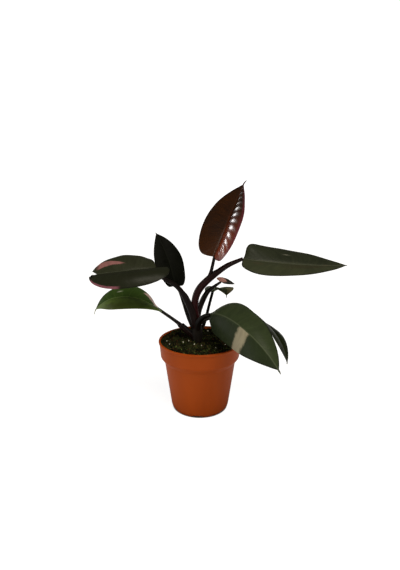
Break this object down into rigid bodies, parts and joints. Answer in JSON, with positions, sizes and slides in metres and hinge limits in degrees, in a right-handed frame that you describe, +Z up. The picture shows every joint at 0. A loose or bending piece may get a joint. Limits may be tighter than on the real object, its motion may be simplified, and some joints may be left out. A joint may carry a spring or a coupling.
{
  "type": "potted philodendron",
  "caption": "Young pink-variegated philodendron with dark glossy pointed leaves on sheathed stalks, growing from peat soil in a round terracotta-coloured nursery pot.",
  "frame": {"origin": "centre of the pot's flat floor, in the plane that the pot stands on, on the pot's axis", "axes": "+Z up along the pot's axis, +X to the plant's right, along its widest spread of leaves, -Y towards its front"},
  "size_m": [0.3674, 0.2035, 0.328],
  "materials": {
    "pot_plastic": "satin",
    "peat_soil": "matte",
    "stem_skin": "matte",
    "petiole_skin": "satin",
    "right_leaf_skin": "satin",
    "top_leaf_skin": "gloss",
    "left_leaf_skin": "satin",
    "rear_left_leaf_skin": "satin",
    "front_leaf_skin": "satin",
    "lower_left_leaf_skin": "satin",
    "lower_right_leaf_skin": "satin",
    "small_pink_leaf_skin": "satin",
    "small_rear_leaf_skin": "satin"
  },
  "bodies": {
    "root": {"pot": "pot_plastic", "soil": "peat_soil", "stem": "stem_skin", "right_petiole": "petiole_skin", "right_blade": "right_leaf_skin", "top_petiole": "petiole_skin", "top_blade": "top_leaf_skin", "left_petiole": "petiole_skin", "left_blade": "left_leaf_skin", "rear_left_petiole": "petiole_skin", "rear_left_blade": "rear_left_leaf_skin", "front_petiole": "petiole_skin", "front_blade": "front_leaf_skin", "lower_left_petiole": "petiole_skin", "lower_left_blade": "lower_left_leaf_skin", "lower_right_petiole": "petiole_skin", "lower_right_blade": "lower_right_leaf_skin", "small_pink_petiole": "petiole_skin", "small_pink_blade": "small_pink_leaf_skin", "small_rear_petiole": "petiole_skin", "small_rear_blade": "small_rear_leaf_skin"}
  },
  "joints": []
}
